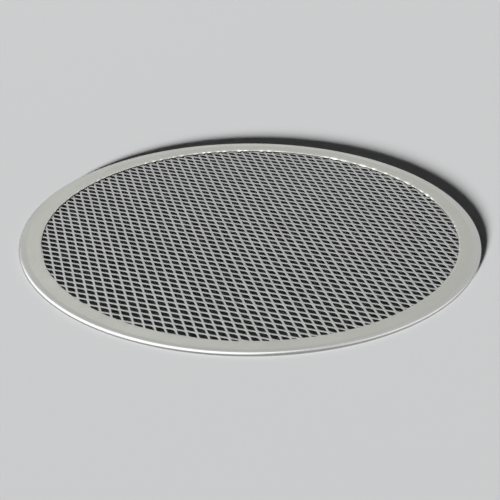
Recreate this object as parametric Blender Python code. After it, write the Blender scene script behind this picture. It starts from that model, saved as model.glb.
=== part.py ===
"""Pizza screen: a disc of expanded-aluminium mesh gripped all round by a folded sheet rim.

Metres, +Z up. The origin is on the screen's axis, in the plane that its underside rests on.
"""
import math

import bmesh
import bpy
from mathutils import Vector

# Rim, folded from one ring of sheet aluminium
OUTER_DIAMETER = 0.3048
FLANGE_WIDTH = 0.0144
SHEET_THICKNESS = 0.0006
BEAD_WIDTH = 0.0040
BEAD_HEIGHT = 0.0024
BEAD_RISE = 0.0005
RISE_WIDTH = 0.0020

# Mesh, slit and stretched from one sheet of aluminium
MESH_THICKNESS = 0.0007
STRAND_PITCH = 0.0142
STRAND_WIDTH = 0.0035
SHALLOW_STRAND_ANGLE = math.radians(163.2)
STEEP_STRAND_ANGLE = math.radians(103.3)

# How the mesh sits in the rim
SEAT_CLEARANCE = 0.0003
EDGE_CLEARANCE = 0.0009
BORDER_SET_BACK = 0.0010

# Where the bead's round part begins above the rise and ends under the rim
BEAD_START_ANGLE = math.radians(102)
BEAD_END_ANGLE = math.radians(-60)
UNDERSIDE_RAMP = 0.0026

# Facets
RIM_SEGMENTS = 96
BEAD_STEPS = 6
BEND_STEPS = 3

# Surface colours
RIM_COLOR = (0.49, 0.49, 0.46, 1.0)
MESH_COLOR = (0.52, 0.53, 0.52, 1.0)

OUTER_RADIUS = OUTER_DIAMETER / 2
INNER_RADIUS = OUTER_RADIUS - FLANGE_WIDTH
MESH_UNDERSIDE = SHEET_THICKNESS + SEAT_CLEARANCE
MESH_TOP = MESH_UNDERSIDE + MESH_THICKNESS
FLANGE_TOP = MESH_TOP + SEAT_CLEARANCE + SHEET_THICKNESS
BEAD_CENTRE = Vector((OUTER_RADIUS - BEAD_WIDTH / 2, FLANGE_TOP + BEAD_RISE - BEAD_HEIGHT / 2))
RISE_START = OUTER_RADIUS - BEAD_WIDTH - RISE_WIDTH
MESH_RADIUS = RISE_START - EDGE_CLEARANCE
LATTICE_RADIUS = INNER_RADIUS + BORDER_SET_BACK


def clear_scene():
    for obj in list(bpy.data.objects):
        bpy.data.objects.remove(obj, do_unlink=True)


def aluminium(name, color, roughness):
    material = bpy.data.materials.new(name)
    material.use_nodes = True
    shader = material.node_tree.nodes["Principled BSDF"]
    shader.inputs["Base Color"].default_value = color
    shader.inputs["Metallic"].default_value = 1.0
    shader.inputs["Roughness"].default_value = roughness
    return material


def add_object(name, bm, material, location=(0.0, 0.0, 0.0)):
    mesh = bpy.data.meshes.new(name)
    bm.to_mesh(mesh)
    bm.free()
    mesh.materials.append(material)
    obj = bpy.data.objects.new(name, mesh)
    obj.location = location
    bpy.context.scene.collection.objects.link(obj)
    return obj


def bend(start, start_pull, end_pull, end, steps):
    """Points of a smooth curve from start to end, both left out, drawn by its two pulls."""
    points = []
    for i in range(1, steps):
        t = i / steps
        s = 1 - t
        points.append(s**3 * start + 3 * s * s * t * start_pull + 3 * s * t * t * end_pull + t**3 * end)
    return points


def bead_point(angle):
    """Point of the sheet's middle line on the bead, at an angle from straight outward."""
    half_width = (BEAD_WIDTH - SHEET_THICKNESS) / 2
    half_height = (BEAD_HEIGHT - SHEET_THICKNESS) / 2
    return BEAD_CENTRE + Vector((half_width * math.cos(angle), half_height * math.sin(angle)))


def bead_heading(angle):
    """Direction of the sheet's middle line there, going over the bead from the top."""
    half_width = (BEAD_WIDTH - SHEET_THICKNESS) / 2
    half_height = (BEAD_HEIGHT - SHEET_THICKNESS) / 2
    return Vector((half_width * math.sin(angle), -half_height * math.cos(angle))).normalized()


def rim_middle_line():
    """Middle of the folded sheet as (radius, height), from the top inner lip to the bottom one."""
    top = FLANGE_TOP - SHEET_THICKNESS / 2
    bottom = SHEET_THICKNESS / 2
    flat_end = Vector((RISE_START, top))
    bead_start = bead_point(BEAD_START_ANGLE)
    bead_end = bead_point(BEAD_END_ANGLE)
    ramp_end = Vector((BEAD_CENTRE.x - UNDERSIDE_RAMP, bottom))

    rise_pull = (bead_start - flat_end).length / 3
    ramp_pull = (bead_end - ramp_end).length / 3

    line = [Vector((INNER_RADIUS, top)), flat_end]
    line += bend(
        flat_end,
        flat_end + Vector((rise_pull, 0)),
        bead_start - rise_pull * bead_heading(BEAD_START_ANGLE),
        bead_start,
        BEND_STEPS,
    )
    sweep = BEAD_END_ANGLE - BEAD_START_ANGLE
    line += [bead_point(BEAD_START_ANGLE + sweep * i / BEAD_STEPS) for i in range(BEAD_STEPS + 1)]
    line += bend(
        bead_end,
        bead_end + ramp_pull * bead_heading(BEAD_END_ANGLE),
        ramp_end + Vector((ramp_pull, 0)),
        ramp_end,
        BEND_STEPS,
    )
    line += [ramp_end, Vector((INNER_RADIUS, bottom))]
    return line


def thicken(line, thickness):
    """Closed outline of a sheet of the given thickness that follows a middle line."""
    left, right = [], []
    for i, point in enumerate(line):
        before = (point - line[i - 1]).normalized() if i > 0 else None
        after = (line[i + 1] - point).normalized() if i < len(line) - 1 else None
        heading = ((before or after) + (after or before)).normalized()
        side = Vector((-heading.y, heading.x)) * (thickness / 2)
        left.append(point + side)
        right.append(point - side)
    return left + right[::-1]


def make_rim():
    outline = thicken(rim_middle_line(), SHEET_THICKNESS)
    bm = bmesh.new()
    verts = [bm.verts.new((point.x, 0, point.y)) for point in outline]
    edges = [bm.edges.new((verts[i - 1], verts[i])) for i in range(len(verts))]
    bmesh.ops.spin(
        bm,
        geom=verts + edges,
        cent=(0, 0, 0),
        axis=(0, 0, 1),
        angle=2 * math.pi,
        steps=RIM_SEGMENTS,
        use_merge=True,
    )
    bmesh.ops.recalc_face_normals(bm, faces=bm.faces)
    rim = add_object("rim", bm, aluminium("rim_aluminium", RIM_COLOR, 0.42))
    rim.data.shade_smooth()
    rim.data.set_sharp_from_angle(angle=math.radians(40))
    return rim


def circle(radius, segments):
    step = 2 * math.pi / segments
    return [Vector((radius * math.cos(i * step), radius * math.sin(i * step))) for i in range(segments)]


def area(polygon):
    return sum(polygon[i - 1].cross(polygon[i]) for i in range(len(polygon))) / 2


def keep_inside(polygon, boundary):
    """The part of a polygon that lies inside a convex boundary, both counter-clockwise."""
    for i, corner in enumerate(boundary):
        edge = corner - boundary[i - 1]
        kept = []
        for j, point in enumerate(polygon):
            last = polygon[j - 1]
            last_depth = edge.cross(last - corner)
            depth = edge.cross(point - corner)
            if (last_depth > 0) != (depth > 0):
                kept.append(last.lerp(point, last_depth / (last_depth - depth)))
            if depth > 0:
                kept.append(point)
        polygon = kept
    return polygon


def mesh_openings():
    """Outlines of the openings that the two families of strands leave, clipped by the border.

    What the border leaves of an opening is filled where it is smaller than a strand is wide.
    """
    shallow = Vector((math.cos(SHALLOW_STRAND_ANGLE), math.sin(SHALLOW_STRAND_ANGLE)))
    steep = Vector((math.cos(STEEP_STRAND_ANGLE), math.sin(STEEP_STRAND_ANGLE)))
    crossing = abs(shallow.cross(steep))
    step_along_shallow = shallow * (STRAND_PITCH / crossing)
    step_along_steep = steep * (STRAND_PITCH / crossing)
    open_share = 1 - STRAND_WIDTH / STRAND_PITCH
    boundary = circle(LATTICE_RADIUS, RIM_SEGMENTS)
    reach = math.ceil(2 * LATTICE_RADIUS / STRAND_PITCH)

    openings = []
    for i in range(-reach, reach):
        for j in range(-reach, reach):
            centre = (i + 0.5) * step_along_shallow + (j + 0.5) * step_along_steep
            half_a = step_along_shallow * open_share / 2
            half_b = step_along_steep * open_share / 2
            corners = [centre + half_b - half_a, centre - half_b - half_a]
            corners += [centre - half_b + half_a, centre + half_b + half_a]
            if min(corner.length for corner in corners) > LATTICE_RADIUS:
                continue
            opening = corners if area(corners) > 0 else corners[::-1]
            if max(corner.length for corner in corners) > LATTICE_RADIUS * math.cos(math.pi / RIM_SEGMENTS):
                opening = keep_inside(opening, boundary)
            if area(opening) > STRAND_WIDTH**2:
                openings.append(opening)
    return openings


def make_mesh():
    openings = mesh_openings()
    print("openings in the mesh:", len(openings))
    bm = bmesh.new()
    edges = []
    for outline in [circle(MESH_RADIUS, RIM_SEGMENTS)] + openings:
        verts = [bm.verts.new((point.x, point.y, 0)) for point in outline]
        edges += [bm.edges.new((verts[i - 1], verts[i])) for i in range(len(verts))]
    bmesh.ops.triangle_fill(bm, edges=edges, use_beauty=True, normal=(0, 0, 1))
    mesh = add_object("mesh", bm, aluminium("mesh_aluminium", MESH_COLOR, 0.38), (0, 0, MESH_TOP))
    solidify = mesh.modifiers.new("thickness", "SOLIDIFY")
    solidify.thickness = MESH_THICKNESS
    solidify.offset = -1.0
    return mesh


def make_pizza_screen():
    clear_scene()
    screen = bpy.data.objects.new("pizza_screen", None)
    bpy.context.scene.collection.objects.link(screen)
    for piece in (make_rim(), make_mesh()):
        piece.parent = screen


make_pizza_screen()
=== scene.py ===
"""Looks of the pizza screen: finished rim, full expanded mesh, floor, light and camera.

Metres, in the frame of the solids: the origin is on the screen's axis, in the plane it rests on.
"""

import math

import bpy
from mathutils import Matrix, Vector, noise


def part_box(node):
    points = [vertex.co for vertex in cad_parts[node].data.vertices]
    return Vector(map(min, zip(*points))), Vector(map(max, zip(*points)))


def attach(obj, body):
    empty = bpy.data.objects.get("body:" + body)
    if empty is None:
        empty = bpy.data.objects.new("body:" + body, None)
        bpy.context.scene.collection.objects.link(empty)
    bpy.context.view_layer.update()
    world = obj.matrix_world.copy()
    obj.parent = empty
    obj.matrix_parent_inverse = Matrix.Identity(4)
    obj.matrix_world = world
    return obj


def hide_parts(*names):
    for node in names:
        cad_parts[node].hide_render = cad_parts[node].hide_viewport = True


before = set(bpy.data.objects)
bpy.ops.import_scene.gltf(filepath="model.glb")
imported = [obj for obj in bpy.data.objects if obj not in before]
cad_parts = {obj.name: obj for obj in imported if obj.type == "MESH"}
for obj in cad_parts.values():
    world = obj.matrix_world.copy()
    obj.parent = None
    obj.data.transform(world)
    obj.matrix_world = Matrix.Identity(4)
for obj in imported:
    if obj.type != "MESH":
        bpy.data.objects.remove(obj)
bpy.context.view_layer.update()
rim_low, rim_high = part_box("rim")
mesh_low, mesh_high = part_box("mesh")

# Rim, folded as in the solids
OUTER_RADIUS = (rim_high.x - rim_low.x) / 2
FLANGE_WIDTH = 0.0144
SHEET_THICKNESS = 0.0006
SEAT_CLEARANCE = 0.0003
BEAD_WIDTH = 0.0040
BEAD_HEIGHT = 0.0024
RISE_WIDTH = 0.0020
BEAD_START_ANGLE = math.radians(102)
BEAD_END_ANGLE = math.radians(-60)
UNDERSIDE_RAMP = 0.0026
INNER_RADIUS = OUTER_RADIUS - FLANGE_WIDTH
FLANGE_TOP = mesh_high.z + SEAT_CLEARANCE + SHEET_THICKNESS
BEAD_CENTRE = Vector((OUTER_RADIUS - BEAD_WIDTH / 2, rim_high.z - BEAD_HEIGHT / 2))
RISE_START = OUTER_RADIUS - BEAD_WIDTH - RISE_WIDTH

# Upper lip, pressed down onto the strands, more on one side, and dimpled between them
LIP_ROUNDING = 0.00028
LIP_WIDTH = 0.0017
LIP_CURVE = 1.3
LIP_DROP = 0.00044
LIP_UNEVEN = 0.00024
PRESSED_SIDE = math.radians(50)
LIP_DIMPLE = 0.00027
DIMPLE_UNEVEN = 0.5

# Waves of the sheet, up and down, and ripples of its lip, in and out
WAVE_HEIGHT = 0.00006
WAVE_SCALE = 5.0
RIPPLE_DEPTH = 0.00012
RIPPLE_SCALE = 22.0
RIPPLE_SHIFT = Vector((0, 0, 3))
RIPPLE_FADE = 6

# Facets of the rim
RIM_SEGMENTS = 768
BEAD_STEPS = 18
BEND_STEPS = 8
ROUNDING_STEPS = 4
LIP_STEPS = 6
RIM_SMOOTHING = math.radians(50)

# Mesh: two families of strands, the place of one crossing, and the shape of the openings
MESH_RADIUS = (mesh_high.x - mesh_low.x) / 2
STRAND_TOP = mesh_high.z
STRAND_THICKNESS = 0.00055
SHALLOW_ANGLE = math.radians(-16.80)
SHALLOW_PITCH = 0.0056024
SHALLOW_WIDTH = 0.00138
STEEP_ANGLE = math.radians(103.28)
STEEP_PITCH = 0.0056332
STEEP_WIDTH = 0.00142
STEEP_LEAN = math.radians(4)
CROSSING = Vector((0.002544, 0.002626))
CORNER_ROUNDING = 0.002
EDGE_BEVEL = 0.00022
MESH_SMOOTHING = math.radians(25)

# Rounding of a 120 degree corner: its sides over its radius, and the share of them up to its middle
ARC_SIDE = 0.58
ARC_MIDDLE = 0.27

# How unevenly the strands lie
UNEVEN_SEED = 7
UNEVEN_STEP = 0.003
UNEVEN_SHIFT = 0.0002
UNEVEN_HEIGHT = 0.00008

# Border of the mesh: how far under the flange the pattern starts to be drawn in, and its width before
SQUEEZE_INSET = 0.0012
SQUEEZE_REACH = 0.0115
SQUEEZE_START = INNER_RADIUS + SQUEEZE_INSET

# Cells: half the long diagonal over the side, and how many are tried beyond the mesh's radius
HALF_DIAGONAL = 0.87
SPARE_CELLS = 6

# Colours as the surfaces show them
RIM_DARK = (0.362, 0.365, 0.335, 1.0)
RIM_LIGHT = (0.482, 0.485, 0.448, 1.0)
RIM_RUBBED = (0.485, 0.487, 0.490, 1.0)
# Lip colour: rubbed metal, made lighter still as a painted glint
LIP_RUBBED_AND_GLINT = (0.60, 0.60, 0.58, 1.0)
MESH_DARK = (0.30, 0.308, 0.302, 1.0)
MESH_LIGHT = (0.45, 0.458, 0.45, 1.0)
MESH_SHEARED = (0.27, 0.275, 0.27, 1.0)
FLOOR_COLOR = (0.62, 0.625, 0.63, 1.0)
WHITE = (1.0, 1.0, 1.0, 1.0)

# Shade before the patterns, and the part of each noise's range that they use
MIDDLE_SHADE = 0.5
GRAIN_RANGE = (0.3, 0.7)
PATCH_RANGE = (0.35, 0.65)
PIT_RANGE = (0.30, 0.36)
DASH_RANGE = (0.42, 0.55)

# Rim finish: how fine each pattern is, then what it does to shade, roughness and relief
FINE_RINGS = 3400.0
FINE_SCALE = 3.0
BROAD_RINGS = 800.0
BROAD_SCALE = 2.0
RIM_PATCH_SCALE = 28.0
PIT_SCALE = 1500.0
DASH_SCALE = 210.0
FINE_SHADE = (-0.035, 0.035)
BROAD_SHADE = (-0.03, 0.03)
RIM_PATCH_SHADE = (-0.05, 0.04)
PIT_SHADE = (-0.07, 0.0)
RIM_ROUGHNESS = (0.42, 0.34)
FINE_ROUGHNESS = (-0.04, 0.04)
PIT_RELIEF = 0.5
RIM_RELIEF = 0.00002
RIM_RELIEF_STRENGTH = 0.35

# Rubbed bead and lip: width of the lip's rubbing, how strong its dashes are, then colour and polish;
# the lip's lighter colour in dashes is partly rubbed metal, partly a painted glint
LIP_RUBBED_GLINT_WIDTH = 0.0008
DASH_SHARE = (0.1, 1.0)
BEAD_RUBBING = 0.7
LIP_RUBBING_AND_GLINT = 0.6
BEAD_POLISH = 0.13
LIP_POLISH = 0.2

# Mesh finish, in the same order
MESH_PATCH_SCALE = 22.0
STRAND_SCALE = 190.0
GRAIN_STRETCH = (900.0, 5200.0, 5200.0)
MESH_PATCH_SHADE = (-0.08, 0.06)
STRAND_SHADE = (-0.24, 0.24)
GRAIN_SHADE = (-0.07, 0.07)
STRAND_ROUGHNESS = (0.42, 0.32)
GRAIN_ROUGHNESS = (-0.05, 0.05)
GRAIN_RELIEF = 0.00003
GRAIN_RELIEF_STRENGTH = 0.4
SHEARED_UPWARD = (0.75, 0.99)
SHEARED_SHARE = 0.8

# Floor
FLOOR_SIZE = 60.0
FLOOR_HEIGHT = -0.0001
FLOOR_ROUGHNESS = 0.9
FLOOR_SHINE = 0.2

# Light tent: brighter towards one side and a little brighter upward, with a weak fill for the floor
BRIGHT_SIDE = (0.31, 0.87, 0.38)
TENT_FADE = (-0.8, 1.0)
TENT_LEVELS = (0.46, 0.88)
TENT_RISE = (0.34, 0.58)
TENT_RISE_LEVELS = (0.93, 1.02)
FILL = 0.012
FIRST_BOUNCE = 0.5

# Lamps, each direction as azimuth counter-clockwise from +X and elevation, in degrees
KEY_DIRECTION = (247, 6)
KEY_DISTANCE = 8.0
KEY_SPREAD = 5.0
KEY_STRENGTH = 28.0
SOFTBOX_DISTANCE = 2.0
OVERHEAD_DIRECTION = (172, 56)
OVERHEAD_SIZE = (3.6, 3.2)
OVERHEAD_POWER = 58
RIGHT_DIRECTION = (14, 46)
RIGHT_SIZE = (1.5, 1.6)
RIGHT_POWER = 6.2

# Camera, lens and sensor in millimetres
CAMERA_AIM = Vector((0, -0.02828, FLANGE_TOP))
CAMERA_ELEVATION = math.radians(27.67)
CAMERA_DISTANCE = 0.7371
CAMERA_LENS = 82.06
CAMERA_SENSOR = 36.0


def unit(angle):
    return Vector((math.cos(angle), math.sin(angle)))


def smooth_step(value, low, high):
    t = min(max((value - low) / (high - low), 0), 1)
    return t * t * (3 - 2 * t)


def mesh_object(name, verts, faces, material, smoothing=0.0):
    """Object that is shaded smooth, apart from edges sharper than an angle."""
    mesh = bpy.data.meshes.new(name)
    mesh.from_pydata(verts, [], faces)
    mesh.materials.append(material)
    mesh.shade_smooth()
    mesh.set_sharp_from_angle(angle=smoothing)
    mesh.validate()
    obj = bpy.data.objects.new(name, mesh)
    bpy.context.scene.collection.objects.link(obj)
    return obj


def bend(start, start_pull, end_pull, end, steps):
    """Points of a smooth curve from start to end, both left out, drawn by its two pulls."""
    points = []
    for i in range(1, steps):
        t = i / steps
        s = 1 - t
        points.append(s**3 * start + 3 * s * s * t * start_pull + 3 * s * t * t * end_pull + t**3 * end)
    return points


def bead_point(angle):
    """Point of the sheet's middle line on the bead, at an angle from straight outward."""
    half_width = (BEAD_WIDTH - SHEET_THICKNESS) / 2
    half_height = (BEAD_HEIGHT - SHEET_THICKNESS) / 2
    return BEAD_CENTRE + Vector((half_width * math.cos(angle), half_height * math.sin(angle)))


def bead_heading(angle):
    """Direction of the sheet's middle line there, going over the bead from the top."""
    half_width = (BEAD_WIDTH - SHEET_THICKNESS) / 2
    half_height = (BEAD_HEIGHT - SHEET_THICKNESS) / 2
    return Vector((half_width * math.sin(angle), -half_height * math.cos(angle))).normalized()


def near_lip(radius):
    """1 at the lip, falling to 0 where the flange turns flat."""
    return max(1 - (radius - INNER_RADIUS) / LIP_WIDTH, 0) ** LIP_CURVE


def rim_middle_line():
    """Middle of the folded sheet as (radius, height), from the top inner lip to the bottom one."""
    top = FLANGE_TOP - SHEET_THICKNESS / 2
    bottom = SHEET_THICKNESS / 2
    flat_end = Vector((RISE_START, top))
    bead_start = bead_point(BEAD_START_ANGLE)
    bead_end = bead_point(BEAD_END_ANGLE)
    ramp_end = Vector((BEAD_CENTRE.x - UNDERSIDE_RAMP, bottom))
    rise_pull = (bead_start - flat_end).length / 3
    ramp_pull = (bead_end - ramp_end).length / 3
    rise_end = bead_start - rise_pull * bead_heading(BEAD_START_ANGLE)
    ramp_start = bead_end + ramp_pull * bead_heading(BEAD_END_ANGLE)

    # The rounded edge takes the place of the lip's first step
    turns = [math.pi / 2 * i / ROUNDING_STEPS for i in range(ROUNDING_STEPS + 1)]
    edge = [INNER_RADIUS + LIP_ROUNDING * (1 - math.cos(turn)) for turn in turns]
    lip = edge + [INNER_RADIUS + LIP_WIDTH * i / LIP_STEPS for i in range(2, LIP_STEPS + 1)]

    line = [Vector((radius, top - LIP_DROP * near_lip(radius))) for radius in lip]
    line.append(flat_end)
    line += bend(flat_end, flat_end + Vector((rise_pull, 0)), rise_end, bead_start, BEND_STEPS)
    sweep = BEAD_END_ANGLE - BEAD_START_ANGLE
    line += [bead_point(BEAD_START_ANGLE + sweep * i / BEAD_STEPS) for i in range(BEAD_STEPS + 1)]
    line += bend(bead_end, ramp_start, ramp_end + Vector((ramp_pull, 0)), ramp_end, BEND_STEPS)
    line.append(ramp_end)
    line += [Vector((radius, bottom)) for radius in reversed(edge)]
    return line


def half_thickness(radius):
    """Half the sheet's thickness, rounded off towards the cut edge of a lip."""
    inset = max(INNER_RADIUS + LIP_ROUNDING - radius, 0)
    return SHEET_THICKNESS / 2 - LIP_ROUNDING + math.sqrt(LIP_ROUNDING**2 - inset**2)


def thicken(line):
    """Closed outline of the sheet along its middle line."""
    left, right = [], []
    for i, point in enumerate(line):
        before = point - line[i - 1] if i > 0 else line[1] - point
        after = line[i + 1] - point if i < len(line) - 1 else before
        heading = (before.normalized() + after.normalized()).normalized()
        side = Vector((-heading.y, heading.x)) * half_thickness(point.x)
        left.append(point + side)
        right.append(point - side)
    return left + right[::-1]


def over_strand(place):
    """1 over the middle of a strand, -1 where both families of strands are furthest."""
    steep = (place - CROSSING).cross(unit(STEEP_ANGLE)) / STEEP_PITCH
    shallow = (place - CROSSING).cross(unit(SHALLOW_ANGLE)) / SHALLOW_PITCH
    return max(math.cos(2 * math.pi * steep), math.cos(2 * math.pi * shallow))


def make_rim(material):
    """The folded rim, turned about the axis, with its pressed lip and the slight waves of the sheet."""
    outline = thicken(rim_middle_line())
    count = len(outline)
    verts, faces = [], []
    for i in range(RIM_SEGMENTS):
        turn = 2 * math.pi * i / RIM_SEGMENTS
        way = Vector((math.cos(turn), math.sin(turn), 0))
        pressed = math.cos(turn - PRESSED_SIDE)
        dimple = LIP_DIMPLE * (1 + DIMPLE_UNEVEN * pressed) * over_strand(way.xy * INNER_RADIUS)
        for point in outline:
            free = 1 - smooth_step(point.x, INNER_RADIUS, RISE_START + RISE_WIDTH / 2)
            on_top = smooth_step(point.y, mesh_low.z, mesh_high.z)
            wave = free * on_top * WAVE_HEIGHT * noise.noise(way * WAVE_SCALE)
            wave += near_lip(point.x) * on_top * (dimple - LIP_UNEVEN * pressed)
            ripple = (free**RIPPLE_FADE) * RIPPLE_DEPTH * noise.noise(way * RIPPLE_SCALE + RIPPLE_SHIFT)
            verts.append(way * (point.x + ripple) + Vector((0, 0, point.y + wave)))
        here, after = i * count, (i + 1) % RIM_SEGMENTS * count
        for j in range(count):
            k = (j + 1) % count
            faces.append((here + j, here + k, after + k, after + j))
    return mesh_object("rim_finish", verts, faces, material, RIM_SMOOTHING)


def squeeze(point):
    """Draws what lies under the flange inward, so that every cut strand ends in the rim's seat."""
    radius = point.length
    if radius <= SQUEEZE_START:
        return point
    share = (MESH_RADIUS - SQUEEZE_START) / SQUEEZE_REACH
    return point * ((SQUEEZE_START + (radius - SQUEEZE_START) * share) / radius)


class Strands:
    """Builds the expanded mesh cell by cell: each cell is one opening with half of each strand.

    An opening's outline has 12 points. The cell's border, on the strands' middle lines, has 8: its
    four corners and the middles between them.
    """

    # How much of the steep strands' lean each point of the outline takes
    LEAN_SHARES = (1, 0.5, 0, 0, -1, -1, -1, -0.5, 0, 0, 1, 1)

    # Triangles at the rounded corners: a point of the border and two of the outline
    FANS = [(0, 0, 1), (0, 1, 2), (4, 6, 7), (4, 7, 8)]

    # Faces between them: two points of the border and two of the outline
    SPANS = [(0, 1, 3, 2), (1, 2, 4, 3), (2, 3, 5, 4), (3, 4, 6, 5)]
    SPANS += [(4, 5, 9, 8), (5, 6, 10, 9), (6, 7, 11, 10), (7, 0, 0, 11)]

    def __init__(self):
        cross = abs(unit(SHALLOW_ANGLE).cross(unit(STEEP_ANGLE)))
        self.along_shallow = unit(SHALLOW_ANGLE) * (STEEP_PITCH / cross)
        self.along_steep = unit(STEEP_ANGLE) * (SHALLOW_PITCH / cross)
        self.verts = []
        self.faces = []
        self.shared = {}
        self.edges = {}

    def node(self, i, j):
        return CROSSING + i * self.along_shallow + j * self.along_steep

    def add(self, point, height, lean=0.0):
        uneven = noise.noise_vector(Vector((point.x, point.y, 0)) / UNEVEN_STEP)
        placed = squeeze(point + uneven.xy * UNEVEN_SHIFT)
        self.verts.append((placed.x, placed.y, height + lean + uneven.z * UNEVEN_HEIGHT))
        return len(self.verts) - 1

    def share(self, key, point):
        """Top and bottom vertex on a strand's middle line, which the cells beside it share."""
        if key not in self.shared:
            top = self.add(point, STRAND_TOP)
            bottom = self.add(point, STRAND_TOP - STRAND_THICKNESS)
            self.shared[key] = (top, bottom)
        return self.shared[key]

    def outline(self, i, j, grow):
        """Outline of an opening, counter-clockwise from the corner by node (i, j)."""
        centre = self.node(i + 0.5, j + 0.5)
        half_a = self.along_shallow * ((1 - (STEEP_WIDTH - 2 * grow) / STEEP_PITCH) / 2)
        half_b = self.along_steep * ((1 - (SHALLOW_WIDTH - 2 * grow) / SHALLOW_PITCH) / 2)
        way_a = half_a.normalized() * (CORNER_ROUNDING * ARC_SIDE)
        way_b = half_b.normalized() * (CORNER_ROUNDING * ARC_SIDE)
        near = centre - half_a - half_b
        far = centre + half_a + half_b
        return [
            near + way_b,
            near + (way_a + way_b) * ARC_MIDDLE,
            near + way_a,
            centre - half_b,
            centre + half_a - half_b,
            centre + half_a,
            far - way_b,
            far - (way_a + way_b) * ARC_MIDDLE,
            far - way_a,
            centre + half_b,
            centre - half_a + half_b,
            centre - half_a,
        ]

    def border(self, i, j):
        """Shared vertices round a cell, counter-clockwise from node (i, j)."""
        corners = [(i, j), (i + 1, j), (i + 1, j + 1), (i, j + 1)]
        middles = [("shallow", i, j), ("steep", i + 1, j), ("shallow", i, j + 1), ("steep", i, j)]
        points = [self.node(*corner) for corner in corners]
        shared = []
        for n, point in enumerate(points):
            after = points[(n + 1) % len(points)]
            shared.append(self.share(corners[n], point))
            shared.append(self.share(middles[n], (point + after) / 2))
        return shared

    def cell(self, i, j):
        """One opening: bevelled edge, walls, and the faces out to the middles of its strands."""
        edge = self.outline(i, j, EDGE_BEVEL)
        sides = self.outline(i, j, 0)
        rise = math.tan(STEEP_LEAN) * STEEP_WIDTH / 2
        leans = [rise * share for share in self.LEAN_SHARES]
        low = STRAND_TOP - STRAND_THICKNESS
        top = [self.add(point, STRAND_TOP, lean) for point, lean in zip(edge, leans)]
        wall = [self.add(point, STRAND_TOP - EDGE_BEVEL, lean) for point, lean in zip(sides, leans)]
        base = [self.add(point, low, lean) for point, lean in zip(sides, leans)]
        border = self.border(i, j)

        for corner, first, second in self.FANS:
            self.faces.append((border[corner][0], top[second], top[first]))
            self.faces.append((border[corner][1], base[first], base[second]))
        for start, end, first, second in self.SPANS:
            self.faces.append((border[start][0], border[end][0], top[first], top[second]))
            self.faces.append((border[start][1], base[second], base[first], border[end][1]))
        for n in range(len(top)):
            m = (n + 1) % len(top)
            self.faces.append((top[n], top[m], wall[m], wall[n]))
            self.faces.append((wall[n], wall[m], base[m], base[n]))
        for n in range(len(border)):
            first, second = border[n], border[(n + 1) % len(border)]
            self.edges.setdefault(frozenset((first, second)), []).append((first, second))

    def close_border(self):
        """Walls along the outer edge, where a strand is shared by no second cell."""
        for uses in self.edges.values():
            if len(uses) == 1:
                first, second = uses[0]
                self.faces.append((second[0], first[0], first[1], second[1]))


def make_mesh(material):
    """Every cell whose corners can reach inside the rim. The seed keeps every run the same."""
    noise.seed_set(UNEVEN_SEED)
    strands = Strands()
    reach = INNER_RADIUS + strands.along_shallow.length * HALF_DIAGONAL
    span = math.ceil(MESH_RADIUS / SHALLOW_PITCH) + SPARE_CELLS
    for i in range(-span, span):
        for j in range(-span, span):
            if strands.node(i + 0.5, j + 0.5).length < reach:
                strands.cell(i, j)
    strands.close_border()
    return mesh_object("mesh_strands", strands.verts, strands.faces, material, MESH_SMOOTHING)


class Tree:
    """Adds shader nodes. Each call takes numbers or other nodes' outputs and gives back an output."""

    def __init__(self, tree):
        self.nodes = tree.nodes
        self.links = tree.links
        coordinates = self.nodes.new("ShaderNodeTexCoord").outputs
        self.place = coordinates["Object"]
        self.direction = coordinates["Generated"]

    def feed(self, socket, value):
        if isinstance(value, bpy.types.NodeSocket):
            self.links.new(value, socket)
        else:
            socket.default_value = value

    def math(self, operation, first, second=0.0, clamp=False):
        node = self.nodes.new("ShaderNodeMath")
        node.operation = operation
        node.use_clamp = clamp
        self.feed(node.inputs[0], first)
        self.feed(node.inputs[1], second)
        return node.outputs[0]

    def times(self, first, second):
        return self.math("MULTIPLY", first, second)

    def total(self, first, *others):
        for other in others:
            first = self.math("ADD", first, other)
        return first

    def vector(self, operation, first, second=(0.0, 0.0, 0.0), output="Vector"):
        node = self.nodes.new("ShaderNodeVectorMath")
        node.operation = operation
        self.feed(node.inputs[0], first)
        self.feed(node.inputs[1], second)
        return node.outputs[output]

    def split(self, vector):
        node = self.nodes.new("ShaderNodeSeparateXYZ")
        self.feed(node.inputs[0], vector)
        return node.outputs

    def join(self, x, y, z):
        node = self.nodes.new("ShaderNodeCombineXYZ")
        for socket, value in zip(node.inputs, (x, y, z)):
            self.feed(socket, value)
        return node.outputs[0]

    def noise(self, place, scale, detail):
        node = self.nodes.new("ShaderNodeTexNoise")
        self.feed(node.inputs["Vector"], place)
        node.inputs["Scale"].default_value = scale
        node.inputs["Detail"].default_value = detail
        return node.outputs["Fac"]

    def spread(self, value, old, new):
        """Carries an old range onto a new one, and holds what lies beyond it."""
        node = self.nodes.new("ShaderNodeMapRange")
        node.inputs["From Min"].default_value, node.inputs["From Max"].default_value = old
        node.inputs["To Min"].default_value, node.inputs["To Max"].default_value = new
        self.feed(node.inputs["Value"], value)
        return node.outputs["Result"]

    def mix(self, share, first, second):
        node = self.nodes.new("ShaderNodeMix")
        node.data_type = "RGBA"
        self.feed(node.inputs["Factor"], share)
        colors = [socket for socket in node.inputs if socket.type == "RGBA"]
        self.feed(colors[0], first)
        self.feed(colors[1], second)
        return next(socket for socket in node.outputs if socket.type == "RGBA")

    def bump(self, height, distance, strength):
        node = self.nodes.new("ShaderNodeBump")
        self.feed(node.inputs["Height"], height)
        node.inputs["Distance"].default_value = distance
        node.inputs["Strength"].default_value = strength
        return node.outputs["Normal"]


def new_material(name, metallic):
    material = bpy.data.materials.new(name)
    material.use_nodes = True
    shader = material.node_tree.nodes["Principled BSDF"]
    shader.inputs["Metallic"].default_value = metallic
    return material, shader


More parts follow.
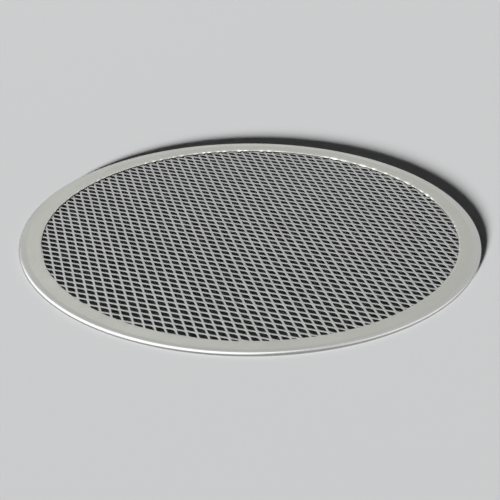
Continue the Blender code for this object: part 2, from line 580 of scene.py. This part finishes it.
def rim_metal():
    """Spun sheet aluminium: rings of brushing, dull patches, small pits, bead and lip rubbed bright;
    along the lip the lighter dashes are partly a painted glint.
    """
    material, shader = new_material("rim_metal", 1.0)
    tree = Tree(material.node_tree)
    x, y, z = tree.split(tree.place)
    radius = tree.vector("LENGTH", tree.join(x, y, 0.0), output="Value")
    round_x = tree.math("DIVIDE", x, radius)
    round_y = tree.math("DIVIDE", y, radius)
    across = tree.total(radius, z)
    fine_place = tree.join(round_x, round_y, tree.times(across, FINE_RINGS))
    broad_place = tree.join(round_x, round_y, tree.times(across, BROAD_RINGS))
    fine = tree.noise(fine_place, FINE_SCALE, detail=3.0)
    broad = tree.noise(broad_place, BROAD_SCALE, detail=2.0)
    patches = tree.noise(tree.place, RIM_PATCH_SCALE, detail=4.0)
    pits = tree.noise(tree.place, PIT_SCALE, detail=1.0)
    dashes = tree.noise(tree.place, DASH_SCALE, detail=1.0)

    on_bead = tree.spread(radius, (RISE_START + RISE_WIDTH, BEAD_CENTRE.x), (0.0, 1.0))
    # The lip's mask, broken into dashes: real polish in the roughness, a painted glint in the colour
    lip_rubbing_and_glint = tree.spread(radius, (INNER_RADIUS + LIP_RUBBED_GLINT_WIDTH, INNER_RADIUS + LIP_WIDTH), (1.0, 0.0))
    lip_rubbing_and_glint = tree.times(lip_rubbing_and_glint, tree.spread(dashes, DASH_RANGE, DASH_SHARE))

    shade = tree.total(
        tree.spread(fine, GRAIN_RANGE, FINE_SHADE),
        tree.spread(broad, GRAIN_RANGE, BROAD_SHADE),
        tree.spread(patches, PATCH_RANGE, RIM_PATCH_SHADE),
        tree.spread(pits, PIT_RANGE, PIT_SHADE),
        MIDDLE_SHADE,
    )
    color = tree.mix(shade, RIM_DARK, RIM_LIGHT)
    color = tree.mix(tree.times(on_bead, BEAD_RUBBING), color, RIM_RUBBED)
    # Painted glint: lighter colour in dashes along the lip, on top of the rubbing
    color = tree.mix(tree.times(lip_rubbing_and_glint, LIP_RUBBING_AND_GLINT), color, LIP_RUBBED_AND_GLINT)
    roughness = tree.total(
        tree.spread(patches, PATCH_RANGE, RIM_ROUGHNESS),
        tree.spread(fine, GRAIN_RANGE, FINE_ROUGHNESS),
        tree.times(on_bead, -BEAD_POLISH),
        tree.times(lip_rubbing_and_glint, -LIP_POLISH),
    )
    relief = tree.total(fine, tree.times(pits, PIT_RELIEF))
    tree.feed(shader.inputs["Base Color"], color)
    tree.feed(shader.inputs["Roughness"], roughness)
    tree.feed(shader.inputs["Normal"], tree.bump(relief, RIM_RELIEF, RIM_RELIEF_STRENGTH))
    return material


def mesh_metal():
    """Rolled sheet, slit and stretched: satin faces, darker sheared sides, each strand a bit apart."""
    material, shader = new_material("mesh_metal", 1.0)
    tree = Tree(material.node_tree)
    patches = tree.noise(tree.place, MESH_PATCH_SCALE, detail=3.0)
    strands = tree.noise(tree.place, STRAND_SCALE, detail=1.0)
    grain = tree.noise(tree.vector("MULTIPLY", tree.place, GRAIN_STRETCH), scale=1.0, detail=3.0)
    geometry = tree.nodes.new("ShaderNodeNewGeometry")
    upward = tree.math("ABSOLUTE", tree.split(geometry.outputs["Normal"])[2])
    sheared = tree.spread(upward, SHEARED_UPWARD, (1.0, 0.0))

    shade = tree.total(
        tree.spread(patches, PATCH_RANGE, MESH_PATCH_SHADE),
        tree.spread(strands, GRAIN_RANGE, STRAND_SHADE),
        tree.spread(grain, GRAIN_RANGE, GRAIN_SHADE),
        MIDDLE_SHADE,
    )
    color = tree.mix(shade, MESH_DARK, MESH_LIGHT)
    color = tree.mix(tree.times(sheared, SHEARED_SHARE), color, MESH_SHEARED)
    roughness = tree.total(
        tree.spread(strands, GRAIN_RANGE, STRAND_ROUGHNESS),
        tree.spread(grain, GRAIN_RANGE, GRAIN_ROUGHNESS),
    )
    tree.feed(shader.inputs["Base Color"], color)
    tree.feed(shader.inputs["Roughness"], roughness)
    tree.feed(shader.inputs["Normal"], tree.bump(grain, GRAIN_RELIEF, GRAIN_RELIEF_STRENGTH))
    return material


def make_floor():
    """Plain pale floor, wide enough for every view."""
    material, shader = new_material("floor_paper", 0.0)
    shader.inputs["Base Color"].default_value = FLOOR_COLOR
    shader.inputs["Roughness"].default_value = FLOOR_ROUGHNESS
    shader.inputs["Specular IOR Level"].default_value = FLOOR_SHINE
    half = FLOOR_SIZE / 2
    corners = [(-half, -half), (half, -half), (half, half), (-half, half)]
    floor = mesh_object("floor", [(x, y, FLOOR_HEIGHT) for x, y in corners], [(0, 1, 2, 3)], material)


def make_world():
    """A white light tent, which the metal mirrors. It lights the floor only a little."""
    world = bpy.data.worlds.new("light_tent")
    bpy.context.scene.world = world
    world.use_nodes = True
    world.cycles.sampling_method = "NONE"
    tree = Tree(world.node_tree)
    toward = tree.vector("DOT_PRODUCT", tree.direction, BRIGHT_SIDE, "Value")
    level = tree.spread(toward, TENT_FADE, TENT_LEVELS)
    rise = tree.spread(tree.split(tree.direction)[2], TENT_RISE, TENT_RISE_LEVELS)
    tent = tree.nodes["Background"]
    tent.inputs["Color"].default_value = WHITE
    tree.feed(tent.inputs["Strength"], tree.times(level, rise))
    fill = tree.nodes.new("ShaderNodeBackground")
    fill.inputs["Color"].default_value = WHITE
    fill.inputs["Strength"].default_value = FILL

    path = tree.nodes.new("ShaderNodeLightPath").outputs
    seen = tree.math("ADD", path["Is Camera Ray"], path["Is Glossy Ray"])
    seen = tree.math("ADD", seen, path["Is Transmission Ray"], clamp=True)
    seen = tree.times(seen, tree.math("LESS_THAN", path["Diffuse Depth"], FIRST_BOUNCE))
    choose = tree.nodes.new("ShaderNodeMixShader")
    tree.feed(choose.inputs[0], seen)
    tree.feed(choose.inputs[1], fill.outputs[0])
    tree.feed(choose.inputs[2], tent.outputs[0])
    tree.feed(tree.nodes["World Output"].inputs["Surface"], choose.outputs[0])


def place_light(lamp, direction, distance):
    """Puts a lamp in a direction from the screen, facing it."""
    azimuth, elevation = (math.radians(angle) for angle in direction)
    way = Vector((*(unit(azimuth) * math.cos(elevation)), math.sin(elevation)))
    obj = bpy.data.objects.new(lamp.name, lamp)
    obj.location = way * distance
    obj.rotation_euler = (-way).to_track_quat("-Z", "Y").to_euler()
    bpy.context.scene.collection.objects.link(obj)
    return obj


def make_key_light():
    """Low side light for the floor, so far off that it falls evenly. The metal doesn't mirror it."""
    lamp = bpy.data.lights.new("key_light", "SUN")
    lamp.angle = math.radians(KEY_SPREAD)
    lamp.energy = KEY_STRENGTH
    key_light = place_light(lamp, KEY_DIRECTION, KEY_DISTANCE)
    key_light.visible_glossy = False


def make_softbox(name, direction, size, power):
    """Broad lamp that draws a highlight along the bead. It lights nothing but the metal."""
    lamp = bpy.data.lights.new(name, "AREA")
    lamp.shape = "RECTANGLE"
    lamp.size, lamp.size_y = size
    lamp.energy = power
    softbox = place_light(lamp, direction, SOFTBOX_DISTANCE)
    softbox.visible_diffuse = False


def make_camera():
    camera = bpy.data.cameras.new("camera")
    camera.sensor_width = CAMERA_SENSOR
    camera.lens = CAMERA_LENS
    obj = bpy.data.objects.new("camera", camera)
    way = Vector((0, -math.cos(CAMERA_ELEVATION), math.sin(CAMERA_ELEVATION)))
    obj.location = CAMERA_AIM + CAMERA_DISTANCE * way
    obj.rotation_euler = (math.pi / 2 - CAMERA_ELEVATION, 0, 0)
    bpy.context.scene.collection.objects.link(obj)
    bpy.context.scene.camera = obj


bpy.context.scene.view_settings.view_transform = "Standard"

rim = make_rim(rim_metal())
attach(rim, "root")
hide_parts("rim")

mesh = make_mesh(mesh_metal())
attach(mesh, "root")
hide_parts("mesh")

make_floor()
make_world()
make_key_light()
make_softbox("overhead_softbox", OVERHEAD_DIRECTION, OVERHEAD_SIZE, OVERHEAD_POWER)
make_softbox("right_softbox", RIGHT_DIRECTION, RIGHT_SIZE, RIGHT_POWER)
make_camera()
